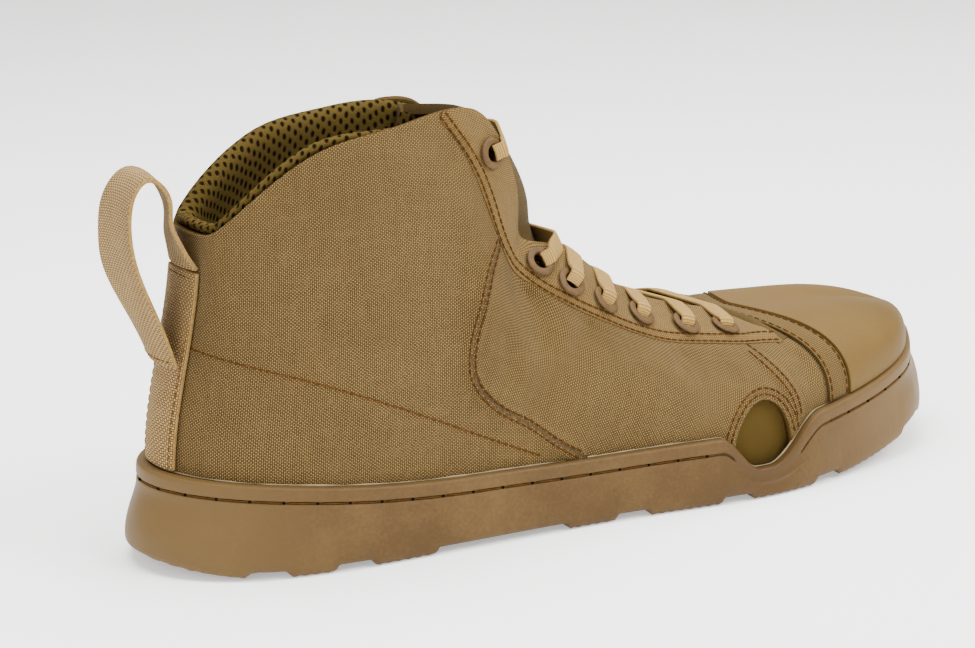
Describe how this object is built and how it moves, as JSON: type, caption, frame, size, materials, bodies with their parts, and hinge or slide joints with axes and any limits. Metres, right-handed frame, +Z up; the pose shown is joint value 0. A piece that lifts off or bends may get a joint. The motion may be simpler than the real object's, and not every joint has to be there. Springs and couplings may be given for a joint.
{
  "type": "assault boot",
  "caption": "Low lace-up assault boot: woven cloth upper on a moulded rubber cup sole, rubber toe cap, padded mesh collar, side vents and a webbing pull loop.",
  "frame": {"origin": "on the floor under the middle of the heel", "axes": "+X to the toe, +Y to the inner side of the foot, +Z up"},
  "size_m": [0.3102, 0.1042, 0.1402],
  "materials": {
    "outsole": "matte moulded rubber",
    "insole": "flat cloth",
    "upper": "coarse woven cloth",
    "tongue": "woven cloth",
    "toe_cap": "smooth matte rubber",
    "toe_strip": "woven webbing",
    "eyestay_lateral": "fine woven cloth",
    "vent_screen_lateral": "plain cloth",
    "eyelet_lateral_1": "satin paint",
    "eyelet_lateral_2": "satin paint",
    "eyelet_lateral_3": "satin paint",
    "eyelet_lateral_4": "satin paint",
    "eyelet_lateral_5": "satin paint",
    "eyelet_lateral_6": "satin paint",
    "eyelet_lateral_7": "satin paint",
    "eyestay_medial": "fine woven cloth",
    "vent_screen_medial": "plain cloth",
    "eyelet_medial_1": "satin paint",
    "eyelet_medial_2": "satin paint",
    "eyelet_medial_3": "satin paint",
    "eyelet_medial_4": "satin paint",
    "eyelet_medial_5": "satin paint",
    "eyelet_medial_6": "satin paint",
    "eyelet_medial_7": "satin paint",
    "collar_padding": "open spacer mesh",
    "heel_strap": "woven webbing",
    "pull_loop": "woven webbing",
    "lace_crossing_1": "flat woven lace",
    "lace_crossing_2": "flat woven lace",
    "lace_crossing_3": "flat woven lace",
    "lace_crossing_4": "flat woven lace",
    "lace_crossing_5": "flat woven lace",
    "lace_crossing_6": "flat woven lace",
    "lace_bar_top": "flat woven lace"
  },
  "bodies": {
    "root": {"outsole": "outsole", "insole": "insole", "upper": "upper", "tongue": "tongue", "toe_cap": "toe_cap", "toe_strip": "toe_strip", "eyestay_lateral": "eyestay_lateral", "vent_screen_lateral": "vent_screen_lateral", "eyelet_lateral_1": "eyelet_lateral_1", "eyelet_lateral_2": "eyelet_lateral_2", "eyelet_lateral_3": "eyelet_lateral_3", "eyelet_lateral_4": "eyelet_lateral_4", "eyelet_lateral_5": "eyelet_lateral_5", "eyelet_lateral_6": "eyelet_lateral_6", "eyelet_lateral_7": "eyelet_lateral_7", "eyestay_medial": "eyestay_medial", "vent_screen_medial": "vent_screen_medial", "eyelet_medial_1": "eyelet_medial_1", "eyelet_medial_2": "eyelet_medial_2", "eyelet_medial_3": "eyelet_medial_3", "eyelet_medial_4": "eyelet_medial_4", "eyelet_medial_5": "eyelet_medial_5", "eyelet_medial_6": "eyelet_medial_6", "eyelet_medial_7": "eyelet_medial_7", "collar_padding": "collar_padding", "heel_strap": "heel_strap", "pull_loop": "pull_loop", "lace_crossing_1": "lace_crossing_1", "lace_crossing_2": "lace_crossing_2", "lace_crossing_3": "lace_crossing_3", "lace_crossing_4": "lace_crossing_4", "lace_crossing_5": "lace_crossing_5", "lace_crossing_6": "lace_crossing_6", "lace_bar_top": "lace_bar_top"}
  },
  "joints": []
}
